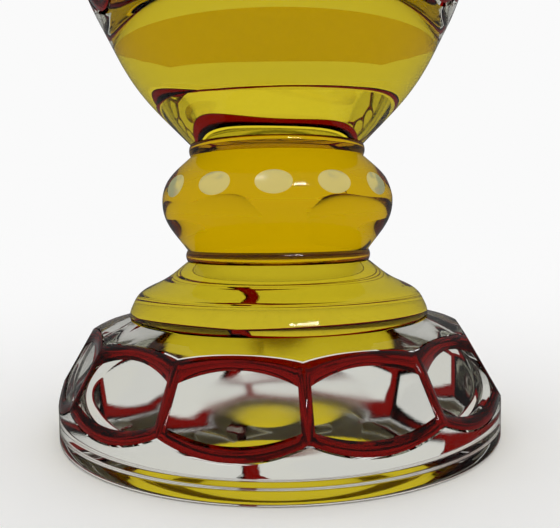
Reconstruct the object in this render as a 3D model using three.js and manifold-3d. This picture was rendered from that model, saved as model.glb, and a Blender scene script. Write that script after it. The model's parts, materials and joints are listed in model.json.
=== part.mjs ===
// Covered vase in cut glass: a clear foot and bowl with ruby panels, an amber stem, and a cover that
// lifts off. Millimetres, +Z up, origin at the centre of the face that it stands on.
import * as THREE from "three";
import { mergeVertices } from "three/addons/utils/BufferGeometryUtils.js";
import Module from "manifold-3d";

const wasm = await Module();
wasm.setup();

// Foot
const footHeight = 31.9;
const footRadius = 64.5; // at the widest
const footBandHeight = 12.5; // up to the top of the upright side
const footEdgeHeight = 0.6; // of the softened lower edge
const footEdgeInset = 0.4; // that edge ends this far inside the widest
const restingWidth = 3.7; // of the ring that it stands on
const grooveRun = 6.4; // from that ring in to the deepest place of the outer groove
const ridgeRun = 3.4; // from there in to the ridge between the two grooves
const innerGrooveRun = 4.6; // from the ridge in to the deepest place of the inner groove
const middleRun = 3.5; // from there in to the level middle
const grooveDepth = 0.87;
const ridgeRise = 0.25; // the ridge clears the shelf by this much
const middleRise = 0.2;
const footShoulderRadius = 53; // where the round shoulder turns into the top slope
const footShoulderDrop = 2.3; // the top slope falls this much to the shoulder
const footHollowRadius = 26; // ground hollow in the level middle
const footHollowDepth = 1.3;

// Stem, from the foot up
const domeRadius = 45.2;
const domeHeight = 16.1;
const domeShoulderRadius = 34.9; // where the dome's side has rolled over most
const domeShoulderRise = 10.6;
const lowerNeckRadius = 27.2;
const lowerCollarHeight = 3.4;
const knopHeight = 27.4;
const knopRadius = 34.3;
const knopWidestRise = 14.2;
const upperNeckRadius = 25.7;
const upperCollarHeight = 3.6;
const collarBead = 0.5; // how far a collar's bead stands out of its neck

// Bowl
const bowlBaseHeight = 25.6;
const bowlBaseRadius = 46.4; // where the amber base meets the clear wall
const bowlHeight = 97;
const bellyRadius = 64;
const bellyRise = 56; // the belly's height over the join with the base
const rimRadius = 57.5;
const rimBevel = 1;
const mouthRadius = 50;
const cavityRadius = 53.5; // inside the belly
const cavityFloorRadius = 25;
const cavityFloorRise = 12; // thickness of clear glass over the join with the base

// Cover
const coverLip = 1.8; // the flange stands out this far past the rim
const flangeThickness = 4.5;
const flangeRound = 0.8; // how far the flange's edge bulges
const coverDomeRadius = 54;
const coverHeight = 38; // from the rim to the top of the dome
const coverTopRadius = 11.5;
const coverWall = 6.5;
const spigotHeight = 6; // the ring under the cover that drops into the mouth
const spigotWall = 4;
const spigotClearance = 0.6;
const seatGap = 0.3;

// Finial
const finialCollarHeight = 5;
const finialCollarRadius = 10;
const finialKnopHeight = 15;
const finialKnopRadius = 15;
const finialNeckRadius = 7.6;
const spireHeight = 29;
const spireRadius = 10;
const spireWidestRise = 8;
const spireTipRadius = 2.4;
const spireFlats = 8;
const spireFlatDepth = 0.9;

// Cut work
const panelCount = 12;
const footPanelLow = 10.2; // where a panel's middle meets the outline, over the start of its piece
const footPanelHigh = 29.2;
const bowlPanelLow = 7.5;
const bowlPanelHigh = 64;
const bowlPanelTurn = 7.5; // degrees that the bowl's panels are turned from the foot's
const coverPanelLow = 7;
const coverPanelHigh = 33;
const layerThickness = 1; // ruby glass over the clear
const layerGap = 0.3;
const panelBar = 1.5; // ruby left between a window and the ridge beside it
const panelFrame = 4.4; // ruby left above and below a window
const windowShoulder = 0.6; // height of a window's straight sides as a share of its middle
const pearlCount = 13;
const pearlWidth = 11.6;
const pearlHeight = 9.4;
const pearlDepth = 0.9;
const pearlRise = 18.4; // centre of the pearls over the lower end of the knop
const pearlTurn = -81.9; // degrees from a panel's middle to the first pearl
const frontTurn = -9.5; // degrees that the whole vase is turned, so no panel faces squarely forward

// How far the outline leans in from upright, in degrees; a negative lean opens outwards.
const leanDegrees = {
  footShoulder: 68,
  domeFoot: 21,
  domeShoulder: 66,
  domeNeck: 53,
  knopFoot: -35,
  knopNeck: 48,
  bowlNeck: -44,
  bowlJoin: -26.5,
  bowlRim: 6,
  coverTop: 80,
  finialKnopFoot: -60,
  finialKnopNeck: 45,
  spireFoot: -40,
  spireTip: 16,
};

const roundSteps = 36;
const smallRoundSteps = 24;
const curveSteps = 4;
const curveEase = 0.4; // length of a curve's handles as a share of its chord
const degrees = THREE.MathUtils.degToRad;

// Radii under the foot, from its edge inwards
const restingRadius = footRadius - footEdgeInset;
const restingInnerRadius = restingRadius - restingWidth;
const grooveRadius = restingInnerRadius - grooveRun;
const ridgeRadius = grooveRadius - ridgeRun;
const innerGrooveRadius = ridgeRadius - innerGrooveRun;
const middleRadius = innerGrooveRadius - middleRun;

// Heights where one piece meets the next
const domeStart = footHeight;
const lowerCollarStart = domeStart + domeHeight;
const knopStart = lowerCollarStart + lowerCollarHeight;
const upperCollarStart = knopStart + knopHeight;
const bowlBaseStart = upperCollarStart + upperCollarHeight;
const bowlStart = bowlBaseStart + bowlBaseHeight;
const rimHeight = bowlStart + bowlHeight;
const coverStart = rimHeight + seatGap;
const flangeTop = coverStart + flangeThickness;
const finialCollarStart = coverStart + coverHeight;
const finialKnopStart = finialCollarStart + finialCollarHeight;
const spireStart = finialKnopStart + finialKnopHeight;
const spireEnd = spireStart + spireHeight;

// The ring under the cover, which fits the mouth
const spigotRadius = mouthRadius - spigotClearance;
const spigotInnerRadius = spigotRadius - spigotWall;

const crystal = { color: 0xe9ebf2, roughness: 0.04, metalness: 0 };
const ruby = { color: 0x7d0f12, roughness: 0.05, metalness: 0 };
const amber = { color: 0xc79a0e, roughness: 0.05, metalness: 0 };

const vase = new THREE.Group();
vase.name = "covered_vase";
vase.rotation.z = degrees(frontTurn);
const cover = new THREE.Group();
cover.name = "cover";
vase.add(cover);

// A closed mesh as a solid that can be cut.
function solidOf(geometry) {
  const bare = geometry.clone();
  bare.deleteAttribute("normal");
  bare.deleteAttribute("uv");
  const merged = mergeVertices(bare, 1e-3);
  return new wasm.Manifold(
    new wasm.Mesh({
      numProp: 3,
      vertProperties: merged.attributes.position.array,
      triVerts: new Uint32Array(merged.index.array),
    }),
  );
}

function geometryOf(solid) {
  const { vertProperties, triVerts } = solid.getMesh();
  const geometry = new THREE.BufferGeometry();
  geometry.setAttribute("position", new THREE.BufferAttribute(vertProperties, 3));
  geometry.setIndex(new THREE.BufferAttribute(triVerts, 1));
  geometry.computeVertexNormals();
  return geometry;
}

function addPiece(parent, name, solid, finish) {
  const mesh = new THREE.Mesh(geometryOf(solid), new THREE.MeshStandardMaterial(finish));
  mesh.name = name;
  parent.add(mesh);
}

// Extends an outline of radius and height by a curve with a lean at each end.
function sweepTo(outline, radius, height, leave, arrive) {
  const { x, y } = outline.currentPoint;
  const handle = curveEase * Math.hypot(radius - x, height - y);
  outline.bezierCurveTo(
    x - handle * Math.sin(degrees(leave)),
    y + handle * Math.cos(degrees(leave)),
    radius + handle * Math.sin(degrees(arrive)),
    height - handle * Math.cos(degrees(arrive)),
    radius,
    height,
  );
}

// Turns an outline about the Z axis.
function revolved(outline, steps = roundSteps) {
  const lathe = new THREE.LatheGeometry(outline.getPoints(curveSteps), steps);
  return solidOf(lathe.rotateX(Math.PI / 2));
}

function join(solids) {
  return solids.reduce((whole, piece) => whole.add(piece));
}

function aroundAxis(count, firstTurn, makeGeometry) {
  return Array.from({ length: count }, (_, i) =>
    solidOf(makeGeometry().rotateZ(firstTurn + (i * 2 * Math.PI) / count)),
  );
}

// The outer radius of an outline at a height.
function radiusAt(outline, height) {
  const points = outline.getPoints(8 * curveSteps);
  const crossings = points.slice(1).flatMap((end, i) => {
    const start = points[i];
    const share = (height - start.y) / (end.y - start.y);
    return share >= 0 && share <= 1 ? [start.x + share * (end.x - start.x)] : [];
  });
  return Math.max(...crossings);
}

// A ring of flat panels, each meeting the outline at a low and a high point.
function flatPanels(outline, low, high, turn) {
  const lowRadius = radiusAt(outline, low);
  const highRadius = radiusAt(outline, high);
  return {
    turn: degrees(turn),
    radius: (lowRadius + highRadius) / 2,
    height: (low + high) / 2,
    tilt: Math.atan2(lowRadius - highRadius, high - low),
    length: Math.hypot(high - low, lowRadius - highRadius),
  };
}

// The glass outside a ring of flat panels, each set back by the given depth.
function outsidePanels(panels, depth) {
  const reach = 1.6 * Math.max(panels.length, panels.radius);
  const slab = () =>
    new THREE.BoxGeometry(reach, reach, reach)
      .translate(reach / 2 - depth, 0, 0)
      .rotateY(-panels.tilt)
      .translate(panels.radius, 0, panels.height);
  return join(aroundAxis(panelCount, panels.turn, slab));
}

// One barrel-shaped window for each panel: straight beside the ridges and bowed above and below.
function windowCuts(panels) {
  const halfWidth = (rise) =>
    (panels.radius - rise * Math.sin(panels.tilt)) * Math.tan(Math.PI / panelCount) - panelBar;
  const middle = panels.length / 2 - panelFrame;
  const side = windowShoulder * middle;
  const bow = 2 * middle - side;
  const outline = new THREE.Shape();
  outline.moveTo(-halfWidth(-side), -side);
  outline.quadraticCurveTo(0, -bow, halfWidth(-side), -side);
  outline.lineTo(halfWidth(side), side);
  outline.quadraticCurveTo(0, bow, -halfWidth(side), side);
  outline.closePath();
  const through = 8 * layerThickness;
  const facing = new THREE.Matrix4().makeBasis(
    new THREE.Vector3(0, 1, 0),
    new THREE.Vector3(0, 0, 1),
    new THREE.Vector3(1, 0, 0),
  );
  const prism = () =>
    new THREE.ExtrudeGeometry(outline, {
      depth: through,
      bevelEnabled: false,
      curveSegments: curveSteps,
    })
      .applyMatrix4(facing)
      .translate(-through / 2, 0, 0)
      .rotateY(-panels.tilt)
      .translate(panels.radius, 0, panels.height);
  return join(aroundAxis(panelCount, panels.turn, prism));
}

// The clear glass under a ruby layer, and the layer itself with its windows cut through.
function casedGlass(outline, low, high, turn = 0) {
  const panels = flatPanels(outline, low, high, turn);
  const blank = revolved(outline);
  const clear = blank.subtract(outsidePanels(panels, layerThickness + layerGap));
  const layer = blank
    .subtract(outsidePanels(panels, 0))
    .intersect(outsidePanels(panels, layerThickness))
    .subtract(windowCuts(panels));
  return { clear, layer };
}

// The foot: level and hollowed in the middle underneath, with two shallow ground grooves round that.
function addFoot() {
  const shoulderHeight = footHeight - footShoulderDrop;
  const outline = new THREE.Path();
  outline.moveTo(0, middleRise + footHollowDepth);
  sweepTo(outline, footHollowRadius, middleRise, -90, -90);
  outline.lineTo(middleRadius, middleRise);
  outline.lineTo(innerGrooveRadius, grooveDepth);
  outline.lineTo(ridgeRadius, ridgeRise);
  outline.lineTo(grooveRadius, grooveDepth);
  outline.lineTo(restingInnerRadius, 0);
  outline.lineTo(restingRadius, 0);
  outline.lineTo(footRadius, footEdgeHeight);
  outline.lineTo(footRadius, footBandHeight);
  sweepTo(outline, footShoulderRadius, shoulderHeight, 0, leanDegrees.footShoulder);
  outline.lineTo(domeRadius, footHeight);
  outline.lineTo(0, footHeight);
  const { clear, layer } = casedGlass(outline, footPanelLow, footPanelHigh);
  addPiece(vase, "foot", clear, crystal);
  addPiece(vase, "foot_ruby_layer", layer, ruby);
}

// The stepped dome over the foot: a steep side that rolls over and sweeps up into the neck.
function addFootDome() {
  const outline = new THREE.Path();
  outline.moveTo(0, domeStart);
  outline.lineTo(domeRadius, domeStart);
  const shoulder = domeStart + domeShoulderRise;
  sweepTo(outline, domeShoulderRadius, shoulder, leanDegrees.domeFoot, leanDegrees.domeShoulder);
  sweepTo(outline, lowerNeckRadius, lowerCollarStart, leanDegrees.domeShoulder, leanDegrees.domeNeck);
  outline.lineTo(0, lowerCollarStart);
  addPiece(vase, "foot_dome", revolved(outline), amber);
}

// A short ring with one soft bead, fused between two larger gathers of glass.
function collar(radius, start, height, steps = roundSteps) {
  const outline = new THREE.Path();
  outline.moveTo(0, start);
  outline.lineTo(radius, start);
  outline.quadraticCurveTo(radius + 2 * collarBead, start + height / 2, radius, start + height);
  outline.lineTo(0, start + height);
  return revolved(outline, steps);
}

// Shallow oval dimples, ground by a wheel square to the upper half of the knop.
function pearlCuts(outline) {
  const height = knopStart + pearlRise;
  const reach = pearlHeight / 4;
  const fall = radiusAt(outline, height - reach) - radiusAt(outline, height + reach);
  const tilt = Math.atan2(fall, 2 * reach);
  const wheelRound = 3 * pearlDepth;
  const spread = 1 / (2 * Math.sqrt(1 - (1 - pearlDepth / wheelRound) ** 2));
  const cut = () =>
    new THREE.SphereGeometry(1, 14, 8)
      .rotateX(Math.PI / 2)
      .scale(wheelRound, spread * pearlWidth, spread * pearlHeight)
      .translate(wheelRound - pearlDepth, 0, 0)
      .rotateY(-tilt)
      .translate(radiusAt(outline, height), 0, height);
  return join(aroundAxis(pearlCount, degrees(pearlTurn), cut));
}

function addKnop() {
  const outline = new THREE.Path();
  outline.moveTo(0, knopStart);
  outline.lineTo(lowerNeckRadius, knopStart);
  sweepTo(outline, knopRadius, knopStart + knopWidestRise, leanDegrees.knopFoot, 0);
  sweepTo(outline, upperNeckRadius, upperCollarStart, 0, leanDegrees.knopNeck);
  outline.lineTo(0, upperCollarStart);
  addPiece(vase, "stem_knop", revolved(outline).subtract(pearlCuts(outline)), amber);
}

// The solid amber base of the bowl, opening out of the neck like a trumpet.
function addBowlBase() {
  const outline = new THREE.Path();
  outline.moveTo(0, bowlBaseStart);
  outline.lineTo(upperNeckRadius, bowlBaseStart);
  sweepTo(outline, bowlBaseRadius, bowlStart, leanDegrees.bowlNeck, leanDegrees.bowlJoin);
  outline.lineTo(0, bowlStart);
  addPiece(vase, "bowl_base", revolved(outline), amber);
}

// The clear bowl: a thick floor, a belly that holds the panels, and a wall that draws in to the mouth.
function addBowl() {
  const belly = bowlStart + bellyRise;
  const floor = bowlStart + cavityFloorRise;
  const outline = new THREE.Path();
  outline.moveTo(0, bowlStart);
  outline.lineTo(bowlBaseRadius, bowlStart);
  sweepTo(outline, bellyRadius, belly, leanDegrees.bowlJoin, 0);
  sweepTo(outline, rimRadius, rimHeight - rimBevel, 0, leanDegrees.bowlRim);
  outline.lineTo(rimRadius - rimBevel, rimHeight);
  outline.lineTo(mouthRadius, rimHeight);
  outline.lineTo(mouthRadius, rimHeight - 1.5 * spigotHeight);
  sweepTo(outline, cavityRadius, belly, 180, 180);
  sweepTo(outline, cavityFloorRadius, floor, 180, 90);
  outline.lineTo(0, floor);
  const low = bowlStart + bowlPanelLow;
  const high = bowlStart + bowlPanelHigh;
  const { clear, layer } = casedGlass(outline, low, high, bowlPanelTurn);
  addPiece(vase, "bowl", clear, crystal);
  addPiece(vase, "bowl_ruby_layer", layer, ruby);
}

// The flange that rests on the rim, and the spigot under it that keeps the cover central.
function flange() {
  const edge = rimRadius + coverLip;
  const outline = new THREE.Path();
  outline.moveTo(spigotInnerRadius, flangeTop);
  outline.lineTo(spigotInnerRadius, coverStart - spigotHeight);
  outline.lineTo(spigotRadius, coverStart - spigotHeight);
  outline.lineTo(spigotRadius, coverStart);
  outline.lineTo(edge - flangeRound, coverStart);
  outline.quadraticCurveTo(edge + flangeRound, (coverStart + flangeTop) / 2, edge - flangeRound, flangeTop);
  outline.lineTo(spigotInnerRadius, flangeTop);
  return revolved(outline);
}

function addCoverDome() {
  const foot = (coverStart + flangeTop) / 2;
  const ceiling = finialCollarStart - coverWall;
  const outline = new THREE.Path();
  outline.moveTo(0, ceiling);
  sweepTo(outline, spigotInnerRadius, flangeTop, -90, 180);
  outline.lineTo(spigotInnerRadius, foot);
  outline.lineTo(coverDomeRadius, foot);
  sweepTo(outline, coverTopRadius, finialCollarStart, 0, leanDegrees.coverTop);
  outline.lineTo(0, finialCollarStart);
  const { clear, layer } = casedGlass(outline, coverStart + coverPanelLow, coverStart + coverPanelHigh);
  addPiece(cover, "cover_dome", clear.add(flange()), crystal);
  addPiece(cover, "cover_ruby_layer", layer, ruby);
}

function addFinialKnop() {
  const widest = (finialKnopStart + spireStart) / 2;
  const outline = new THREE.Path();
  outline.moveTo(0, finialKnopStart);
  outline.lineTo(finialCollarRadius, finialKnopStart);
  sweepTo(outline, finialKnopRadius, widest, leanDegrees.finialKnopFoot, 0);
  sweepTo(outline, finialNeckRadius, spireStart, 0, leanDegrees.finialKnopNeck);
  outline.lineTo(0, spireStart);
  addPiece(cover, "finial_knop", revolved(outline, smallRoundSteps), amber);
}

// A drop drawn out to a point, with flats cut along its upper part.
function addSpire() {
  const outline = new THREE.Path();
  outline.moveTo(0, spireStart);
  outline.lineTo(finialNeckRadius, spireStart);
  sweepTo(outline, spireRadius, spireStart + spireWidestRise, leanDegrees.spireFoot, 0);
  sweepTo(outline, spireTipRadius, spireEnd - spireTipRadius, 0, leanDegrees.spireTip);
  sweepTo(outline, 0, spireEnd, leanDegrees.spireTip, 90);
  const flat = () =>
    new THREE.BoxGeometry(spireRadius, 2 * spireRadius, spireHeight)
      .translate(1.5 * spireRadius - spireFlatDepth, 0, (spireStart + spireEnd) / 2);
  const flats = join(aroundAxis(spireFlats, 0, flat));
  addPiece(cover, "finial_spire", revolved(outline, smallRoundSteps).subtract(flats), crystal);
}

addFoot();
addFootDome();
addPiece(vase, "lower_collar", collar(lowerNeckRadius, lowerCollarStart, lowerCollarHeight), amber);
addKnop();
addPiece(vase, "upper_collar", collar(upperNeckRadius, upperCollarStart, upperCollarHeight), amber);
addBowlBase();
addBowl();
addCoverDome();
const finialCollar = collar(finialCollarRadius, finialCollarStart, finialCollarHeight, smallRoundSteps);
addPiece(cover, "finial_collar", finialCollar, amber);
addFinialKnop();
addSpire();

export default vase;
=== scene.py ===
"""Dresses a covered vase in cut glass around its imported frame: a clear foot and bowl with ruby
panels, an amber stem, and a cover that lifts off. Lengths are metres unless a name says otherwise."""
import json
import math

import bmesh
import bpy
from bpy.props import FloatProperty, FloatVectorProperty, IntProperty, PointerProperty
from mathutils import Matrix, Vector
from mathutils.geometry import interpolate_bezier

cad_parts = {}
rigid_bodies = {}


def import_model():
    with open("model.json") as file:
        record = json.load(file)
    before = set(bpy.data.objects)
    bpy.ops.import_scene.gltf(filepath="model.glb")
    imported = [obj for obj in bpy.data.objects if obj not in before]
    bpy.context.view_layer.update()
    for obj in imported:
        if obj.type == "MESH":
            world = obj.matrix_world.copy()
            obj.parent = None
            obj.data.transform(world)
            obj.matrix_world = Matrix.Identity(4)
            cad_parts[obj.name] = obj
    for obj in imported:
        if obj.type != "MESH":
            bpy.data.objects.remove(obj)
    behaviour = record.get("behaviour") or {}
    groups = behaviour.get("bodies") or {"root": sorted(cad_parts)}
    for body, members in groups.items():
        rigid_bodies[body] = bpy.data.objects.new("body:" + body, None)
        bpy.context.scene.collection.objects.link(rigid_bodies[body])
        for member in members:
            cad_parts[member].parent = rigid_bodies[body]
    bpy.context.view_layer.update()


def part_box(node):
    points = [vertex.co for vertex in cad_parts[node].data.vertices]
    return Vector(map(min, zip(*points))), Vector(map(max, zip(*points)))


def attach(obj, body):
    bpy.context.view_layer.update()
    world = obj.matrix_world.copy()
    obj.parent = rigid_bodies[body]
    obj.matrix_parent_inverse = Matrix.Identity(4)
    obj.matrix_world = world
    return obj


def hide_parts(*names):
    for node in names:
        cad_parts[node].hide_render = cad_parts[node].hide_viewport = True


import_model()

bl_info = {
    "name": "Covered Vase Dresser",
    "version": (1, 0, 0),
    "blender": (4, 5, 0),
    "location": "View3D > Sidebar > Vase",
    "description": "Models the glass of a covered vase around its packed frame",
    "category": "Add Mesh",
}

MM = 0.001

# How finely the glass is turned and cut
TURN_STEPS = 240
CURVE_STEPS = 22
WHEEL_SEGMENTS = 64
WHEEL_RINGS = 48

# The handle of a curve as a share of the way to its end
CURVE_EASE = 0.4

# A wheel's radius across a pearl, in pearl depths
WHEEL_DEPTHS = 3

# Distances within which two places are taken as one
MERGE = 1e-6
ON_PLANE = MERGE / 10
HEIGHT_SLACK = 0.01 * MM

# Air between a skin and its glass, and between a flange and the lowest cut over it
FUSED_GAP = 0.01 * MM
CUT_MARGIN = 0.1 * MM

# An edge with a larger turn than this is sharp
SHARP = math.radians(24)

# A face whose normal has a larger upright share than this is level
LEVEL = 0.999

# The underside of the foot reaches no higher than this share of its height
UNDERSIDE = 0.1

# A face with more corners than this is one that a cut has closed
TURNED_CORNERS = 8

# Places of the finishes in each piece's list
MAIN_FINISH = 0
FUSED_FINISH = 1
GROUND_FINISH = 2

# Places of the two colours and of the result on a mix node
COLOUR_A = 6
COLOUR_B = 7
MIXED_COLOUR = 2


def top(node):
    """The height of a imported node's highest point."""
    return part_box(node)[1].z


def foot_of(node):
    """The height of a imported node's lowest point."""
    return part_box(node)[0].z


def length(name, description, default):
    """A length that the user can change."""
    return FloatProperty(
        name=name, description=description, default=default, unit="LENGTH", precision=5
    )


def turn(name, description, degrees):
    """An angle that the user can change."""
    return FloatProperty(
        name=name,
        description=description,
        default=math.radians(degrees),
        subtype="ANGLE",
        unit="ROTATION",
    )


def colour(name, description, text):
    """A colour that the user can change, given as sRGB hex."""
    return FloatVectorProperty(
        name=name,
        description=description,
        default=linear(text),
        subtype="COLOR",
        size=3,
        min=0,
        max=1,
    )


def linear(text):
    """Turns an sRGB hex colour into linear red, green and blue."""
    shares = [int(text[i : i + 2], 16) / 255 for i in (0, 2, 4)]
    return tuple(s / 12.92 if s <= 0.04045 else ((s + 0.055) / 1.055) ** 2.4 for s in shares)


class VaseSizes(bpy.types.PropertyGroup):
    """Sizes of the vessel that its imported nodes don't give by their boxes"""

    foot_radius: length("Foot radius", "The foot at its widest", 64.5 * MM)
    foot_band: length("Foot band", "Top of the upright side of the foot", 12.5 * MM)
    foot_edge: length("Foot edge", "Height of the rounded lower edge", 0.6 * MM)
    resting_radius: length("Resting radius", "Outer edge of the ring it stands on", 64.1 * MM)
    shoulder_radius: length("Shoulder radius", "Where the side turns into the top slope", 53 * MM)
    shoulder_drop: length("Shoulder drop", "Fall of the top slope to the shoulder", 2.3 * MM)
    resting_inner: length("Resting inner radius", "Inner edge of the ring it stands on", 60.4 * MM)
    groove_radius: length("Groove radius", "Deepest place of the outer groove", 54 * MM)
    inner_groove_radius: length("Inner groove radius", "Deepest place of the inner groove", 46 * MM)
    groove_depth: length("Groove depth", "Depth of both grooves", 0.87 * MM)
    groove_round: length("Groove round", "Reach of the rounding at each turn of a groove", 1.2 * MM)
    ridge_radius: length("Ridge radius", "Low ridge between the grooves", 50.6 * MM)
    ridge_rise: length("Ridge rise", "Height of that ridge over the floor", 0.25 * MM)
    middle_radius: length("Middle radius", "Flat middle under the foot", 42.5 * MM)
    middle_rise: length("Middle rise", "Height of that middle over the floor", 0.2 * MM)
    hollow_radius: length("Hollow radius", "Ground hollow in that middle", 26 * MM)
    hollow_depth: length("Hollow depth", "Depth of that hollow", 1.3 * MM)
    dome_radius: length("Dome radius", "Lower edge of the stepped dome", 44.2 * MM)
    dome_side_radius: length("Dome side radius", "Where its side starts to lean in", 43.1 * MM)
    dome_side_rise: length("Dome side rise", "Height of that place", 4.7 * MM)
    dome_shoulder_radius: length("Dome shoulder radius", "Where the dome rolls over", 35.6 * MM)
    dome_shoulder_rise: length("Dome shoulder rise", "Height of that place", 10.2 * MM)
    lower_neck: length("Lower neck radius", "Under the knop", 27.2 * MM)
    upper_neck: length("Upper neck radius", "Over the knop", 25.7 * MM)
    knop_radius: length("Knop radius", "The knop at its widest", 34.3 * MM)
    knop_rise: length("Knop rise", "Height of the widest place over the lower neck", 14.2 * MM)
    collar_bead: length("Collar bead", "How far a collar's bead stands out", 0.5 * MM)
    base_radius: length("Base radius", "Where the amber base meets the clear wall", 46.4 * MM)
    belly_radius: length("Belly radius", "The bowl at its widest", 64 * MM)
    belly_rise: length("Belly rise", "Height of the belly over the base", 56 * MM)
    rim_radius: length("Rim radius", "Outside of the rim", 57.5 * MM)
    rim_bevel: length("Rim bevel", "Bevel of the rim's outer edge", 1 * MM)
    mouth_radius: length("Mouth radius", "Inside of the rim", 50 * MM)
    mouth_depth: length("Mouth depth", "Height of the straight part of the mouth", 9 * MM)
    cavity_radius: length("Cavity radius", "Inside of the belly", 53.5 * MM)
    floor_radius: length("Floor radius", "Inside of the bowl at its floor", 25 * MM)
    floor_rise: length("Floor rise", "Clear glass between base and floor", 12 * MM)


class CoverSizes(bpy.types.PropertyGroup):
    """Sizes of the cover and its finial"""

    lip: length("Lip", "How far the flange stands out past the rim", 1.8 * MM)
    flange: length("Flange", "Thickness of the flange", 4.5 * MM)
    flange_round: length("Flange round", "Bulge of the flange's edge", 0.8 * MM)
    dome_radius: length("Dome radius", "Foot of the dome", 54 * MM)
    top_radius: length("Top radius", "Top of the dome, under the finial", 11.5 * MM)
    wall: length("Wall", "Thickness of glass under the finial", 6.5 * MM)
    spigot: length("Spigot", "Height of the ring that drops into the mouth", 6 * MM)
    spigot_wall: length("Spigot wall", "Thickness of that ring", 4 * MM)
    spigot_clearance: length("Spigot clearance", "Room between that ring and the mouth", 0.6 * MM)
    finial_collar: length("Finial collar radius", "Ring between cover and finial", 10 * MM)
    finial_knop: length("Finial knop radius", "Flattened ball of the finial", 15 * MM)
    finial_neck: length("Finial neck radius", "Under the spire", 7.6 * MM)
    spire_radius: length("Spire radius", "The spire at its widest", 10 * MM)
    spire_rise: length("Spire rise", "Height of the widest place over its neck", 8 * MM)
    spire_tip: length("Spire tip radius", "Roundness of the tip", 2.4 * MM)
    spire_flats: IntProperty(name="Spire flats", description="Flats cut round the spire", default=8)
    spire_flat_depth: length("Spire flat depth", "Depth of each flat", 0.9 * MM)


class CutSizes(bpy.types.PropertyGroup):
    """Sizes of the panels, windows and pearls"""

    panels: IntProperty(name="Panels", description="Flat panels round each ring", default=12)
    front_turn: turn("Front turn", "How far the whole vase is turned", -9.5)
    foot_low: length("Foot panel low", "Lower end of the foot's panels", 9.2 * MM)
    foot_high: length("Foot panel high", "Upper end of the foot's panels", 29.6 * MM)
    bowl_low: length("Bowl panel low", "Lower end over the start of the bowl", 7.5 * MM)
    bowl_turn: turn("Bowl turn", "How far the bowl's panels are turned from the foot's", 7.5)
    bowl_high: length("Bowl panel high", "Upper end over the start of the bowl", 64 * MM)
    cover_low: length("Cover panel low", "Lower end over the rim", 7 * MM)
    cover_high: length("Cover panel high", "Upper end over the rim", 33 * MM)
    skin: length("Skin", "Thickness of the ruby skin", 0.25 * MM)
    bar: length("Bar", "Ruby between a window and the ridge beside it", 1.5 * MM)
    border: length("Border", "Ruby above and below a window", 3.4 * MM)
    window_shoulder: FloatProperty(
        name="Window shoulder",
        description="A window's straight sides as a share of its middle",
        default=0.6,
    )
    pearls: IntProperty(name="Pearls", description="Dimples round the knop", default=13)
    pearl_width: length("Pearl width", "Width of a pearl", 11.6 * MM)
    pearl_height: length("Pearl height", "Height of a pearl", 9.4 * MM)
    pearl_depth: length("Pearl depth", "Depth of a pearl", 0.9 * MM)
    pearl_rise: length("Pearl rise", "Height of the pearls over the lower neck", 18.4 * MM)
    pearl_turn: turn("Pearl turn", "From a panel's middle to the first pearl", -81.9)


class GlassColours(bpy.types.PropertyGroup):
    """What each glass lets through at one crossing, and how each surface is left"""

    crystal: colour("Crystal", "Clear lead crystal", "F4F4F2")
    amber: colour("Amber", "Silver stain", "E2CC2C")
    ruby: colour("Ruby", "Copper ruby", "820D08")
    frost: colour("Frost", "Light scattered by matt ground glass", "E6EAB4")
    floor: colour("Floor", "Plain floor", "FFFFFF")
    sky: colour("Sky", "Even light all round", "FAFAFA")
    index: FloatProperty(
        name="Index", description="How strongly the glass bends light", default=1.54
    )
    gloss: FloatProperty(
        name="Gloss", description="Share of the light in outer reflections", default=0.12
    )
    ground_roughness: FloatProperty(
        name="Ground roughness", description="In the middle of the hollow", default=0.15
    )
    matt_radius: length("Matt radius", "Where that roughness has fallen by half", 20 * MM)
    matt_fade: length("Matt fade", "Reach of that fall on either side", 4 * MM)
    mark_depth: length("Mark depth", "Depth of the wheel's marks in the hollow", 0.006 * MM)
    mark_run: length("Mark run", "About how far one mark runs", 12 * MM)
    marks_round: FloatProperty(
        name="Marks round", description="How close the marks lie, counted per radian", default=40
    )
    pearl_roughness: FloatProperty(
        name="Pearl roughness", description="In the pearls", default=0.2
    )
    pearl_frost: FloatProperty(
        name="Pearl frost", description="Share of the light that a pearl scatters", default=0.4
    )


class StageSizes(bpy.types.PropertyGroup):
    """Where the camera stands, what lights the vase and how far its light is followed"""

    lens: FloatProperty(name="Lens", description="Focal length in millimetres", default=41.14)
    camera_distance: length("Camera distance", "From the axis of the vase", 194.5 * MM)
    camera_height: length("Camera height", "Over the floor", 59.45 * MM)
    camera_side: length("Camera side", "To the right of the axis", 0.52 * MM)
    camera_pitch: turn("Camera pitch", "Down from level", 3.75)
    camera_roll: turn("Camera roll", "Clockwise", 0.7)
    nearest: length("Nearest", "Nearest thing that the camera shows", 10 * MM)
    floor_gap: length("Floor gap", "Air between the foot and the floor", 0.2 * MM)
    floor_size: length("Floor size", "Width of the floor", 6.0)
    lamp_distance: length("Lamp distance", "From the knop", 1.0)
    lamp_side: turn("Lamp side", "To the right of the viewer", 20)
    lamp_rise: turn("Lamp rise", "Above level", 33)
    lamp_width: length("Lamp width", "Long side of the lamp", 0.35)
    lamp_height: length("Lamp height", "Short side of the lamp", 0.13)
    lamp_power: FloatProperty(name="Lamp power", description="In watts", default=14.0)
    bounces: IntProperty(name="Bounces", description="Inside the glass", default=48)
    gloss_bounces: IntProperty(name="Gloss bounces", description="At its faces", default=24)
    fused_bounces: IntProperty(name="Fused bounces", description="At its joins", default=64)


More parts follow.
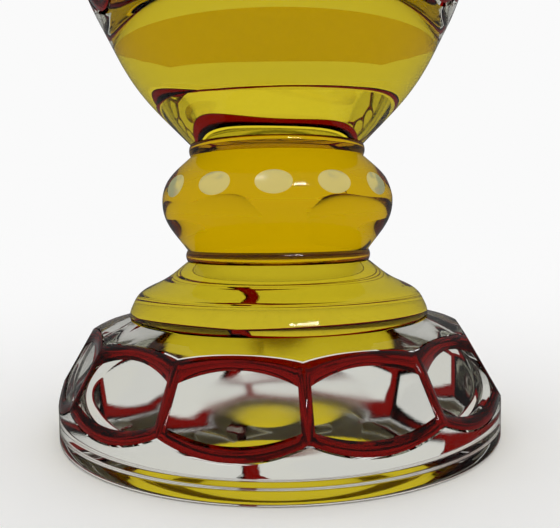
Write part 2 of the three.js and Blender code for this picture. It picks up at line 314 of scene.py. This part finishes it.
# Degrees by which an outline leans in from upright, in the four plain ways and at named places
OUTWARD = -90
UPRIGHT = 0
INWARD = 90
DOWNWARD = 180
LEAN = {
    "foot_shoulder": 68,
    "dome_foot": -12,
    "dome_side": 25,
    "dome_shoulder": 64,
    "dome_neck": 53,
    "knop_foot": -35,
    "knop_neck": 48,
    "bowl_neck": -44,
    "bowl_join": -26.5,
    "bowl_rim": 6,
    "cover_top": 80,
    "finial_knop_foot": -60,
    "finial_knop_neck": 45,
    "spire_foot": -40,
    "spire_tip": 16,
}


class Outline:
    """A turned outline in radius and height, drawn from point to point."""

    def __init__(self, radius, height):
        self.points = [Vector((radius, 0, height))]

    def line(self, radius, height):
        self.points.append(Vector((radius, 0, height)))

    def sweep(self, radius, height, leave, arrive):
        """A curve whose ends lean in from upright by the given degrees."""
        start = self.points[-1]
        end = Vector((radius, 0, height))
        handle = CURVE_EASE * (end - start).length
        self.points += interpolate_bezier(
            start, start + handle * lean(leave), end - handle * lean(arrive), end, CURVE_STEPS
        )[1:]

    def bow(self, control_radius, control_height, radius, height):
        """A curve drawn towards one point."""
        control = Vector((control_radius, 0, control_height))
        self.points += bowed(self.points[-1], control, Vector((radius, 0, height)))[1:]

    def ramps(self, corners, reach):
        """Straight ramps from corner to corner, with all corners but the last rounded."""
        for corner, after in zip(corners, corners[1:]):
            middle = Vector((corner[0], 0, corner[1]))
            start = middle + reach * (self.points[-1] - middle).normalized()
            end = middle + reach * (Vector((after[0], 0, after[1])) - middle).normalized()
            self.line(start.x, start.z)
            self.bow(middle.x, middle.z, end.x, end.z)
        self.line(*corners[-1])

    def radius_at(self, height):
        """The outer radius at a height."""
        radii = []
        for start, end in zip(self.points, self.points[1:]):
            if start.z != end.z and min(start.z, end.z) <= height <= max(start.z, end.z):
                radii.append(start.x + (end.x - start.x) * (height - start.z) / (end.z - start.z))
        return max(radii)


def lean(degrees):
    """The way along an outline that leans in from upright."""
    return Vector((-math.sin(math.radians(degrees)), 0, math.cos(math.radians(degrees))))


def bowed(start, control, end):
    """Points along a curve drawn towards one point."""
    handles = start.lerp(control, 2 / 3), end.lerp(control, 2 / 3)
    return interpolate_bezier(start, *handles, end, CURVE_STEPS)


def turned(outline):
    """Turns an outline about the Z axis into a closed mesh."""
    bm = bmesh.new()
    verts = [bm.verts.new(point) for point in outline.points]
    edges = [bm.edges.new(pair) for pair in zip(verts, verts[1:])]
    bmesh.ops.spin(
        bm,
        geom=verts + edges,
        cent=(0, 0, 0),
        axis=(0, 0, 1),
        angle=math.tau,
        steps=TURN_STEPS,
        use_merge=True,
    )
    bmesh.ops.remove_doubles(bm, verts=bm.verts, dist=MERGE)
    bmesh.ops.recalc_face_normals(bm, faces=bm.faces)
    return bm


def paint_ends(bm, heights):
    """Gives the level faces at these heights, where glass is fused to glass, their own finish."""
    for face in bm.faces:
        if abs(face.normal.z) > LEVEL:
            rise = face.calc_center_median().z
            if any(abs(rise - height) < HEIGHT_SLACK for height in heights):
                face.material_index = FUSED_FINISH


class Panels:
    """A ring of flat panels, each meeting an outline at a low and a high point."""

    def __init__(self, outline, low, high, cuts, turned_by=0.0):
        low_radius = outline.radius_at(low)
        high_radius = outline.radius_at(high)
        self.cuts = cuts
        self.turned_by = turned_by
        self.radius = (low_radius + high_radius) / 2
        self.height = (low + high) / 2
        self.tilt = math.atan2(low_radius - high_radius, high - low)
        self.length = math.hypot(high - low, low_radius - high_radius)

    def place(self, i, depth):
        """The frame of a panel: X outwards, Y along the ring and Z up the panel."""
        angle = self.cuts.front_turn + self.turned_by + i * math.tau / self.cuts.panels
        around = Matrix.Rotation(angle, 4, "Z")
        out = Matrix.Translation((self.radius, 0, self.height)) @ Matrix.Rotation(-self.tilt, 4, "Y")
        return around @ out @ Matrix.Translation((-depth, 0, 0))

    def window(self):
        """A window's outline in its panel, straight beside the ridges and bowed above and below."""
        middle = self.length / 2 - self.cuts.border
        side = self.cuts.window_shoulder * middle
        bow = 2 * middle - side
        low, high = self.half_width(-side), self.half_width(side)
        upper = bowed(Vector((0, high, side)), Vector((0, 0, bow)), Vector((0, -high, side)))
        lower = bowed(Vector((0, -low, -side)), Vector((0, 0, -bow)), Vector((0, low, -side)))
        return upper + lower

    def half_width(self, rise):
        """Half the width of a window at a height over the panel's middle."""
        radius = self.radius - rise * math.sin(self.tilt)
        return radius * math.tan(math.pi / self.cuts.panels) - self.cuts.bar


def cut_panels(bm, panels, depth, above=None):
    """Cuts the flat panels into the glass, or only into what lies above a height, and returns
    their faces."""
    places = [panels.place(i, depth) for i in range(panels.cuts.panels)]
    for place in places:
        cut_flat(bm, place.translation, place.col[0].xyz, above)
    bm.normal_update()
    flats = [f for f in bm.faces if len(f.verts) > TURNED_CORNERS]
    return [max(flats, key=lambda f: f.normal.dot(place.col[0].xyz)) for place in places]


def cut_flat(bm, point, out, above=None):
    """Cuts one flat, and closes it with a single face."""
    faces = bm.faces[:]
    if above is not None:
        faces = [f for f in faces if f.calc_center_median().z > above]
    edges = list(dict.fromkeys(e for f in faces for e in f.edges))
    verts = list(dict.fromkeys(v for e in edges for v in e.verts))
    cut = bmesh.ops.bisect_plane(
        bm,
        geom=faces + edges + verts,
        dist=ON_PLANE,
        plane_co=point,
        plane_no=out,
        clear_outer=True,
    )
    edges = [g for g in cut["geom_cut"] if isinstance(g, bmesh.types.BMEdge)]
    bmesh.ops.edgenet_fill(bm, edges=edges)


def open_windows(bm, panels, depth, faces, frame_slot, window_slot):
    """Splits each panel face into its frame and, where it has a finish, its window."""
    frames = []
    for i, face in enumerate(faces):
        place = panels.place(i, depth)
        ring = [bm.verts.new(place @ point) for point in panels.window()]
        inner = [bm.edges.new(pair) for pair in zip(ring, ring[1:] + ring[:1])]
        outer = list(face.edges)
        bmesh.ops.delete(bm, geom=[face], context="FACES_ONLY")
        filled = bmesh.ops.triangle_fill(bm, edges=outer + inner, use_beauty=True)
        made = [g for g in filled["geom"] if isinstance(g, bmesh.types.BMFace)]
        kept = []
        for f in made:
            if all(v in ring for v in f.verts):
                bm.faces.remove(f)
            else:
                f.material_index = frame_slot
                kept.append(f)
        if window_slot is not None:
            bm.faces.new(ring).material_index = window_slot
        frames += kept
    bm.normal_update()
    return frames


def finished(name, bm, finishes, body, nodes):
    """Makes a piece of a mesh, with its finishes, riding on its body in place of its CAD nodes."""
    mesh = bpy.data.meshes.new(name)
    bm.to_mesh(mesh)
    bm.free()
    for finish in finishes:
        mesh.materials.append(finish)
    piece = bpy.data.objects.new(name, mesh)
    bpy.context.scene.collection.objects.link(piece)
    smooth(piece)
    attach(piece, body)
    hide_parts(*nodes)
    return piece


def smooth(piece):
    """Shades a piece smooth, with sharp lines at its cuts."""
    mesh = piece.data
    mesh.shade_smooth()
    mesh.set_sharp_from_angle(angle=SHARP)


def add_node(tree, kind, inputs=(), **settings):
    """Adds a shader node with its settings, and joins or sets its inputs."""
    node = tree.nodes.new(kind)
    for name, value in settings.items():
        setattr(node, name, value)
    for name, value in dict(inputs).items():
        if isinstance(value, bpy.types.NodeSocket):
            tree.links.new(value, node.inputs[name])
        else:
            node.inputs[name].default_value = value
    return node


def new_finish(name):
    """A material with an empty node tree and its output."""
    finish = bpy.data.materials.get(name) or bpy.data.materials.new(name)
    finish.use_nodes = True
    finish.node_tree.nodes.clear()
    return finish, finish.node_tree, add_node(finish.node_tree, "ShaderNodeOutputMaterial")


def glass(name, tint, roughness=0.0, frost=0.0, ground=False):
    """Lead glass whose surface is stained: light is tinted when it crosses the stain, and twice
    when it turns back inside it, while gloss outside has no tint. Frost scatters a share of the
    light that falls on it from outside, and ground glass has the marks of its wheel."""
    finish, tree, output = new_finish(name)
    look = bpy.context.scene.vase_colours
    side = add_node(tree, "ShaderNodeNewGeometry").outputs["Backfacing"]
    gloss = (look.gloss, look.gloss, look.gloss, 1)
    twice = (*(c * c for c in tint), 1)
    mirror_tint = add_node(
        tree,
        "ShaderNodeMix",
        {"Factor": side, COLOUR_A: gloss, COLOUR_B: twice},
        data_type="RGBA",
    )
    surface = wheel_marks(tree, look) if ground else {"Roughness": roughness}
    through = add_node(
        tree, "ShaderNodeBsdfRefraction", {"Color": (*tint, 1), "IOR": look.index, **surface}
    )
    mirror = add_node(
        tree,
        "ShaderNodeBsdfAnisotropic",
        {"Color": mirror_tint.outputs[MIXED_COLOUR], **surface},
    )
    share = add_node(tree, "ShaderNodeFresnel", {"IOR": look.index})
    whole = add_node(
        tree,
        "ShaderNodeMixShader",
        {0: share.outputs[0], 1: through.outputs[0], 2: mirror.outputs[0]},
    )
    if frost:
        outside = add_node(
            tree, "ShaderNodeMapRange", {"Value": side, "To Min": frost, "To Max": 0.0}
        )
        scatter = add_node(tree, "ShaderNodeBsdfDiffuse", {"Color": (*look.frost, 1)})
        whole = add_node(
            tree,
            "ShaderNodeMixShader",
            {0: outside.outputs[0], 1: whole.outputs[0], 2: scatter.outputs[0]},
        )
    tree.links.new(whole.outputs[0], output.inputs["Surface"])
    return finish


def wheel_marks(tree, look):
    """The surface of a ground hollow: matt in its middle, polished further out, with fine marks
    that run out from the axis, about half a millimetre wide."""
    place = add_node(tree, "ShaderNodeTexCoord").outputs["Object"]
    flat = add_node(tree, "ShaderNodeVectorMath", {0: place, 1: (1, 1, 0)}, operation="MULTIPLY")
    radius = add_node(tree, "ShaderNodeVectorMath", {0: flat.outputs[0]}, operation="LENGTH")
    way = add_node(tree, "ShaderNodeVectorMath", {0: flat.outputs[0]}, operation="NORMALIZE")
    stretch = add_node(
        tree,
        "ShaderNodeMath",
        {0: radius.outputs["Value"], 1: 1 / look.mark_run},
        operation="MULTIPLY",
    )
    run = add_node(tree, "ShaderNodeCombineXYZ", {"Z": stretch.outputs[0]})
    grain = add_node(
        tree,
        "ShaderNodeVectorMath",
        {0: way.outputs[0], 1: (look.marks_round, look.marks_round, 0), 2: run.outputs[0]},
        operation="MULTIPLY_ADD",
    )
    marks = add_node(
        tree,
        "ShaderNodeTexNoise",
        {"Vector": grain.outputs[0], "Scale": 1.0, "Detail": 4.0, "Roughness": 0.6},
    )
    bump = add_node(
        tree,
        "ShaderNodeBump",
        {"Strength": 1.0, "Distance": look.mark_depth, "Height": marks.outputs[0]},
    )
    matt = add_node(
        tree,
        "ShaderNodeMapRange",
        {
            "Value": radius.outputs["Value"],
            "From Min": look.matt_radius - look.matt_fade,
            "From Max": look.matt_radius + look.matt_fade,
            "To Min": look.ground_roughness,
            "To Max": 0.0,
        },
        interpolation_type="SMOOTHSTEP",
    )
    return {"Roughness": matt.outputs[0], "Normal": bump.outputs["Normal"]}


def fused(name):
    """The face where glass is fused to glass, which light crosses unbent."""
    finish, tree, output = new_finish(name)
    clear = add_node(tree, "ShaderNodeBsdfTransparent", {"Color": (1, 1, 1, 1)})
    tree.links.new(clear.outputs[0], output.inputs["Surface"])
    return finish


def crystal():
    """Clear lead crystal."""
    return glass("polished lead crystal", bpy.context.scene.vase_colours.crystal)


def amber():
    """Amber stain."""
    return glass("silver stained crystal", bpy.context.scene.vase_colours.amber)


def ruby():
    """Ruby skin."""
    return glass("ruby stained crystal", bpy.context.scene.vase_colours.ruby)


def ground():
    """The hollow under the foot, which the wheel leaves matt in its middle."""
    return glass("ground lead crystal", bpy.context.scene.vase_colours.crystal, ground=True)


def pearl():
    """A dimple ground before the stain went on, and left half matt."""
    look = bpy.context.scene.vase_colours
    return glass("matt stained crystal", look.amber, look.pearl_roughness, look.pearl_frost)


def ruby_skin(name, outline, panels, body, node, above=None):
    """A thin ruby skin over the frames of the panels, open at the windows."""
    bm = turned(outline)
    faces = cut_panels(bm, panels, 0, above)
    kept = set(open_windows(bm, panels, 0, faces, MAIN_FINISH, None))
    bmesh.ops.delete(bm, geom=[f for f in bm.faces if f not in kept], context="FACES")
    bmesh.ops.remove_doubles(bm, verts=bm.verts, dist=MERGE)
    piece = finished(name, bm, [ruby(), fused("fused glass")], body, [node])
    wall = piece.modifiers.new("skin", "SOLIDIFY")
    wall.thickness = panels.cuts.skin - FUSED_GAP
    wall.offset = -1
    wall.use_even_offset = True
    wall.material_offset = FUSED_FINISH
    return piece


class VASE_OT_foot(bpy.types.Operator):
    """Models the clear foot and its ruby skin"""

    bl_idname = "vase.foot"
    bl_label = "Foot"

    def execute(self, context):
        sizes = context.scene.vase_sizes
        cuts = context.scene.vase_cuts
        height = top("foot")
        outline = Outline(0, sizes.middle_rise + sizes.hollow_depth)
        outline.sweep(sizes.hollow_radius, sizes.middle_rise, OUTWARD, OUTWARD)
        outline.ramps(
            [
                (sizes.middle_radius, sizes.middle_rise),
                (sizes.inner_groove_radius, sizes.groove_depth),
                (sizes.ridge_radius, sizes.ridge_rise),
                (sizes.groove_radius, sizes.groove_depth),
                (sizes.resting_inner, 0),
            ],
            sizes.groove_round,
        )
        outline.line(sizes.resting_radius, 0)
        outline.sweep(sizes.foot_radius, sizes.foot_edge, OUTWARD, UPRIGHT)
        outline.line(sizes.foot_radius, sizes.foot_band)
        shoulder = height - sizes.shoulder_drop
        outline.sweep(sizes.shoulder_radius, shoulder, UPRIGHT, LEAN["foot_shoulder"])
        outline.line(sizes.dome_radius, height)
        outline.line(0, height)
        panels = Panels(outline, cuts.foot_low, cuts.foot_high, cuts)
        bm = turned(outline)
        paint_ends(bm, [height])
        for face in bm.faces:
            centre = face.calc_center_median()
            if centre.z < UNDERSIDE * height and centre.xy.length < sizes.middle_radius:
                face.material_index = GROUND_FINISH
        faces = cut_panels(bm, panels, cuts.skin)
        open_windows(bm, panels, cuts.skin, faces, FUSED_FINISH, MAIN_FINISH)
        finishes = [crystal(), fused("fused glass"), ground()]
        finished("foot_crystal", bm, finishes, "vase", ["foot"])
        ruby_skin("foot_ruby_skin", outline, panels, "vase", "foot_ruby_layer")
        return {"FINISHED"}


def collar(name, radius, bead, node, body):
    """A short amber ring with one soft bead, fused between two larger gathers."""
    start, end = foot_of(node), top(node)
    outline = Outline(0, start)
    outline.line(radius, start)
    outline.bow(radius + 2 * bead, (start + end) / 2, radius, end)
    outline.line(0, end)
    bm = turned(outline)
    paint_ends(bm, [start, end])
    finished(name, bm, [amber(), fused("fused glass")], body, [node])


class VASE_OT_stem(bpy.types.Operator):
    """Models the amber stem: the stepped dome, the two collars and the knop with its pearls"""

    bl_idname = "vase.stem"
    bl_label = "Stem"

    def execute(self, context):
        sizes = context.scene.vase_sizes
        self.dome(sizes)
        collar("lower_collar_ring", sizes.lower_neck, sizes.collar_bead, "lower_collar", "vase")
        self.knop(sizes, context.scene.vase_cuts)
        collar("upper_collar_ring", sizes.upper_neck, sizes.collar_bead, "upper_collar", "vase")
        return {"FINISHED"}

    def dome(self, sizes):
        """A side that bulges over its foot, rolls over and sweeps up into the neck."""
        start, end = foot_of("foot_dome"), top("foot_dome")
        outline = Outline(0, start)
        outline.line(sizes.dome_radius, start)
        side = start + sizes.dome_side_rise
        shoulder = start + sizes.dome_shoulder_rise
        outline.sweep(sizes.dome_side_radius, side, LEAN["dome_foot"], LEAN["dome_side"])
        outline.sweep(
            sizes.dome_shoulder_radius, shoulder, LEAN["dome_side"], LEAN["dome_shoulder"]
        )
        outline.sweep(sizes.lower_neck, end, LEAN["dome_shoulder"], LEAN["dome_neck"])
        outline.line(0, end)
        bm = turned(outline)
        paint_ends(bm, [start, end])
        finishes = [amber(), fused("fused glass")]
        finished("dome_gather", bm, finishes, "vase", ["foot_dome"])

    def knop(self, sizes, cuts):
        """A round knop with a row of oval dimples ground into it."""
        start, end = foot_of("stem_knop"), top("stem_knop")
        outline = Outline(0, start)
        outline.line(sizes.lower_neck, start)
        outline.sweep(sizes.knop_radius, start + sizes.knop_rise, LEAN["knop_foot"], UPRIGHT)
        outline.sweep(sizes.upper_neck, end, UPRIGHT, LEAN["knop_neck"])
        outline.line(0, end)
        bm = turned(outline)
        paint_ends(bm, [start, end])
        finishes = [amber(), fused("fused glass"), pearl()]
        piece = finished("knop_gather", bm, finishes, "vase", ["stem_knop"])
        grind_pearls(piece, outline, start + cuts.pearl_rise, cuts)


def grind_pearls(piece, outline, height, cuts):
    """Cuts a row of shallow oval dimples into a piece, and gives them its ground finish."""
    wheel = WHEEL_DEPTHS * cuts.pearl_depth
    # A wheel sunk this little leaves a dimple narrower than itself
    spread = 1 / (2 * math.sqrt(1 - (1 - cuts.pearl_depth / wheel) ** 2))
    reach = cuts.pearl_height / 4
    lower, upper = outline.radius_at(height - reach), outline.radius_at(height + reach)
    tilt = math.atan2(lower - upper, 2 * reach)
    middle = Matrix.Translation((outline.radius_at(height), 0, height))
    surface = middle @ Matrix.Rotation(-tilt, 4, "Y")
    sink = Matrix.Translation((wheel - cuts.pearl_depth, 0, 0))
    size = Matrix.Diagonal((wheel, spread * cuts.pearl_width, spread * cuts.pearl_height, 1))
    upright = Matrix.Rotation(math.pi / 2, 4, "Y")
    bm = bmesh.new()
    for i in range(cuts.pearls):
        around = cuts.front_turn + cuts.pearl_turn + i * math.tau / cuts.pearls
        bmesh.ops.create_uvsphere(
            bm,
            u_segments=WHEEL_SEGMENTS,
            v_segments=WHEEL_RINGS,
            radius=1,
            matrix=Matrix.Rotation(around, 4, "Z") @ surface @ sink @ size @ upright,
        )
    for face in bm.faces:
        face.material_index = GROUND_FINISH
    mesh = bpy.data.meshes.new("pearl_wheel")
    bm.to_mesh(mesh)
    bm.free()
    for finish in piece.data.materials:
        mesh.materials.append(finish)
    wheel_head = bpy.data.objects.new("pearl_wheel", mesh)
    bpy.context.scene.collection.objects.link(wheel_head)
    cut = piece.modifiers.new("pearls", "BOOLEAN")
    cut.operation = "DIFFERENCE"
    cut.solver = "EXACT"
    cut.object = wheel_head
    evaluated = piece.evaluated_get(bpy.context.evaluated_depsgraph_get())
    shape = bpy.data.meshes.new_from_object(evaluated)
    piece.modifiers.clear()
    piece.data = shape
    bpy.data.objects.remove(wheel_head)
    smooth(piece)


class VASE_OT_bowl(bpy.types.Operator):
    """Models the amber base of the bowl, the clear bowl and its ruby skin"""

    bl_idname = "vase.bowl"
    bl_label = "Bowl"

    def execute(self, context):
        sizes = context.scene.vase_sizes
        cuts = context.scene.vase_cuts
        self.base(sizes)
        start, rim = foot_of("bowl"), top("bowl")
        belly = start + sizes.belly_rise
        floor = start + sizes.floor_rise
        outline = Outline(0, start)
        outline.line(sizes.base_radius, start)
        outline.sweep(sizes.belly_radius, belly, LEAN["bowl_join"], UPRIGHT)
        outline.sweep(sizes.rim_radius, rim - sizes.rim_bevel, UPRIGHT, LEAN["bowl_rim"])
        outline.line(sizes.rim_radius - sizes.rim_bevel, rim)
        outline.line(sizes.mouth_radius, rim)
        outline.line(sizes.mouth_radius, rim - sizes.mouth_depth)
        outline.sweep(sizes.cavity_radius, belly, DOWNWARD, DOWNWARD)
        outline.sweep(sizes.floor_radius, floor, DOWNWARD, INWARD)
        outline.line(0, floor)
        low, high = start + cuts.bowl_low, start + cuts.bowl_high
        panels = Panels(outline, low, high, cuts, cuts.bowl_turn)
        bm = turned(outline)
        paint_ends(bm, [start])
        faces = cut_panels(bm, panels, cuts.skin)
        open_windows(bm, panels, cuts.skin, faces, FUSED_FINISH, MAIN_FINISH)
        finishes = [crystal(), fused("fused glass")]
        finished("bowl_crystal", bm, finishes, "vase", ["bowl"])
        ruby_skin("bowl_ruby_skin", outline, panels, "vase", "bowl_ruby_layer")
        return {"FINISHED"}

    def base(self, sizes):
        """A solid trumpet that opens out of the neck."""
        start, end = foot_of("bowl_base"), top("bowl_base")
        outline = Outline(0, start)
        outline.line(sizes.upper_neck, start)
        outline.sweep(sizes.base_radius, end, LEAN["bowl_neck"], LEAN["bowl_join"])
        outline.line(0, end)
        bm = turned(outline)
        paint_ends(bm, [start, end])
        finishes = [amber(), fused("fused glass")]
        finished("bowl_base_gather", bm, finishes, "vase", ["bowl_base"])


class VASE_OT_cover(bpy.types.Operator):
    """Models the cover and its ruby skin"""

    bl_idname = "vase.cover"
    bl_label = "Cover"

    def execute(self, context):
        sizes = context.scene.vase_sizes
        cover = context.scene.cover_sizes
        cuts = context.scene.vase_cuts
        low, high = foot_of("cover_dome"), top("cover_dome")
        seat = low + cover.spigot
        flange_top = seat + cover.flange
        spigot = sizes.mouth_radius - cover.spigot_clearance
        inner = spigot - cover.spigot_wall
        edge = sizes.rim_radius + cover.lip
        outline = Outline(0, high - cover.wall)
        outline.sweep(inner, flange_top, OUTWARD, DOWNWARD)
        outline.line(inner, low)
        outline.line(spigot, low)
        outline.line(spigot, seat)
        outline.line(edge - cover.flange_round, seat)
        outline.bow(
            edge + cover.flange_round,
            (seat + flange_top) / 2,
            edge - cover.flange_round,
            flange_top,
        )
        outline.line(cover.dome_radius, flange_top)
        outline.sweep(cover.top_radius, high, UPRIGHT, LEAN["cover_top"])
        outline.line(0, high)
        panels = Panels(outline, seat + cuts.cover_low, seat + cuts.cover_high, cuts)
        bm = turned(outline)
        paint_ends(bm, [high])
        above = flange_top + CUT_MARGIN
        faces = cut_panels(bm, panels, cuts.skin, above)
        open_windows(bm, panels, cuts.skin, faces, FUSED_FINISH, MAIN_FINISH)
        finishes = [crystal(), fused("fused glass")]
        finished("cover_crystal", bm, finishes, "cover", ["cover_dome"])
        ruby_skin("cover_ruby_skin", outline, panels, "cover", "cover_ruby_layer", above)
        return {"FINISHED"}


class VASE_OT_finial(bpy.types.Operator):
    """Models the finial: its collar, its flattened knop and its spire"""

    bl_idname = "vase.finial"
    bl_label = "Finial"

    def execute(self, context):
        sizes = context.scene.vase_sizes
        cover = context.scene.cover_sizes
        ring = "finial_collar_ring"
        collar(ring, cover.finial_collar, sizes.collar_bead, "finial_collar", "cover")
        self.knop(cover)
        self.spire(cover)
        return {"FINISHED"}

    def knop(self, cover):
        """A flattened ball between two necks."""
        start, end = foot_of("finial_knop"), top("finial_knop")
        outline = Outline(0, start)
        outline.line(cover.finial_collar, start)
        middle = (start + end) / 2
        outline.sweep(cover.finial_knop, middle, LEAN["finial_knop_foot"], UPRIGHT)
        outline.sweep(cover.finial_neck, end, UPRIGHT, LEAN["finial_knop_neck"])
        outline.line(0, end)
        bm = turned(outline)
        paint_ends(bm, [start, end])
        finishes = [amber(), fused("fused glass")]
        finished("finial_knop_gather", bm, finishes, "cover", ["finial_knop"])

    def spire(self, cover):
        """A drop drawn out to a point, with flats cut along its upper part."""
        start, end = foot_of("finial_spire"), top("finial_spire")
        front_turn = bpy.context.scene.vase_cuts.front_turn
        outline = Outline(0, start)
        outline.line(cover.finial_neck, start)
        widest = start + cover.spire_rise
        outline.sweep(cover.spire_radius, widest, LEAN["spire_foot"], UPRIGHT)
        outline.sweep(cover.spire_tip, end - cover.spire_tip, UPRIGHT, LEAN["spire_tip"])
        outline.sweep(0, end, LEAN["spire_tip"], INWARD)
        bm = turned(outline)
        paint_ends(bm, [start])
        for i in range(cover.spire_flats):
            around = Matrix.Rotation(front_turn + i * math.tau / cover.spire_flats, 3, "Z")
            out = around @ Vector((1, 0, 0))
            cut_flat(bm, out * (cover.spire_radius - cover.spire_flat_depth), out)
        bmesh.ops.recalc_face_normals(bm, faces=bm.faces)
        finishes = [crystal(), fused("fused glass")]
        finished("spire_drop", bm, finishes, "cover", ["finial_spire"])


class VASE_OT_stage(bpy.types.Operator):
    """Sets the camera, the floor, the lamp and the world"""

    bl_idname = "vase.stage"
    bl_label = "Stage"

    def execute(self, context):
        stage = context.scene.vase_stage
        scene = context.scene
        self.camera(scene, stage)
        self.floor(scene, stage)
        self.lamp(scene, stage)
        self.world(scene)
        scene.view_settings.view_transform = "Standard"
        scene.cycles.max_bounces = stage.bounces
        scene.cycles.transmission_bounces = stage.bounces
        scene.cycles.glossy_bounces = stage.gloss_bounces
        scene.cycles.transparent_max_bounces = stage.fused_bounces
        return {"FINISHED"}

    def camera(self, scene, stage):
        """The camera of the photograph."""
        data = bpy.data.cameras.new("camera")
        data.lens = stage.lens
        data.clip_start = stage.nearest
        camera = bpy.data.objects.new("camera", data)
        scene.collection.objects.link(camera)
        camera.location = (stage.camera_side, -stage.camera_distance, stage.camera_height)
        level = Matrix.Rotation(math.pi / 2 - stage.camera_pitch, 4, "X")
        camera.rotation_euler = (level @ Matrix.Rotation(-stage.camera_roll, 4, "Z")).to_euler()
        scene.camera = camera

    def floor(self, scene, stage):
        """A plain pale floor."""
        bm = bmesh.new()
        bmesh.ops.create_grid(bm, x_segments=1, y_segments=1, size=stage.floor_size / 2)
        bmesh.ops.translate(bm, verts=bm.verts, vec=(0, 0, -stage.floor_gap))
        mesh = bpy.data.meshes.new("floor")
        bm.to_mesh(mesh)
        bm.free()
        finish, tree, output = new_finish("plain floor")
        paper = add_node(tree, "ShaderNodeBsdfDiffuse", {"Color": (*scene.vase_colours.floor, 1)})
        tree.links.new(paper.outputs[0], output.inputs["Surface"])
        mesh.materials.append(finish)
        floor = bpy.data.objects.new("floor", mesh)
        scene.collection.objects.link(floor)

    def lamp(self, scene, stage):
        """A small soft lamp above the viewer, seen only in the gloss, where it gives each turned
        edge its bright spot."""
        data = bpy.data.lights.new("lamp", "AREA")
        data.shape = "RECTANGLE"
        data.size = stage.lamp_width
        data.size_y = stage.lamp_height
        data.energy = stage.lamp_power
        lamp = bpy.data.objects.new("lamp", data)
        lamp.visible_diffuse = False
        lamp.visible_transmission = False
        scene.collection.objects.link(lamp)
        knop = Matrix.Translation((0, 0, top("stem_knop")))
        side = Matrix.Rotation(stage.lamp_side, 4, "Z")
        rise = Matrix.Rotation(math.pi / 2 - stage.lamp_rise, 4, "X")
        away = Matrix.Translation((0, 0, stage.lamp_distance))
        lamp.matrix_world = knop @ side @ rise @ away

    def world(self, scene):
        """Even white light."""
        world = bpy.data.worlds.new("studio")
        world.use_nodes = True
        tree = world.node_tree
        tree.nodes.clear()
        sky = (*scene.vase_colours.sky, 1)
        light = add_node(tree, "ShaderNodeBackground", {"Color": sky, "Strength": 1.0})
        output = add_node(tree, "ShaderNodeOutputWorld")
        tree.links.new(light.outputs[0], output.inputs["Surface"])
        scene.world = world


class VASE_PT_panel(bpy.types.Panel):
    """Lists the pieces of the vase"""

    bl_label = "Covered vase"
    bl_idname = "VASE_PT_panel"
    bl_space_type = "VIEW_3D"
    bl_region_type = "UI"
    bl_category = "Vase"

    def draw(self, context):
        for operator in OPERATORS:
            self.layout.operator(operator.bl_idname)


OPERATORS = (VASE_OT_stage, VASE_OT_foot, VASE_OT_stem, VASE_OT_bowl, VASE_OT_cover, VASE_OT_finial)
GROUPS = {
    "vase_sizes": VaseSizes,
    "cover_sizes": CoverSizes,
    "vase_cuts": CutSizes,
    "vase_colours": GlassColours,
    "vase_stage": StageSizes,
}


def register():
    """Registers the classes and hangs the groups on the scene."""
    for kind in (*GROUPS.values(), *OPERATORS, VASE_PT_panel):
        bpy.utils.register_class(kind)
    for name, kind in GROUPS.items():
        setattr(bpy.types.Scene, name, PointerProperty(type=kind))


def unregister():
    """Takes the groups off the scene and unregisters the classes."""
    for name in GROUPS:
        delattr(bpy.types.Scene, name)
    for kind in (VASE_PT_panel, *reversed(OPERATORS), *reversed(list(GROUPS.values()))):
        bpy.utils.unregister_class(kind)


def main():
    """Makes the stage and every piece."""
    register()
    for thing in [o for o in bpy.data.objects if o.name in ("Cube", "Light", "Camera")]:
        bpy.data.objects.remove(thing)
    for operator in OPERATORS:
        group, name = operator.bl_idname.split(".")
        getattr(getattr(bpy.ops, group), name)()


if __name__ == "__main__":
    main()
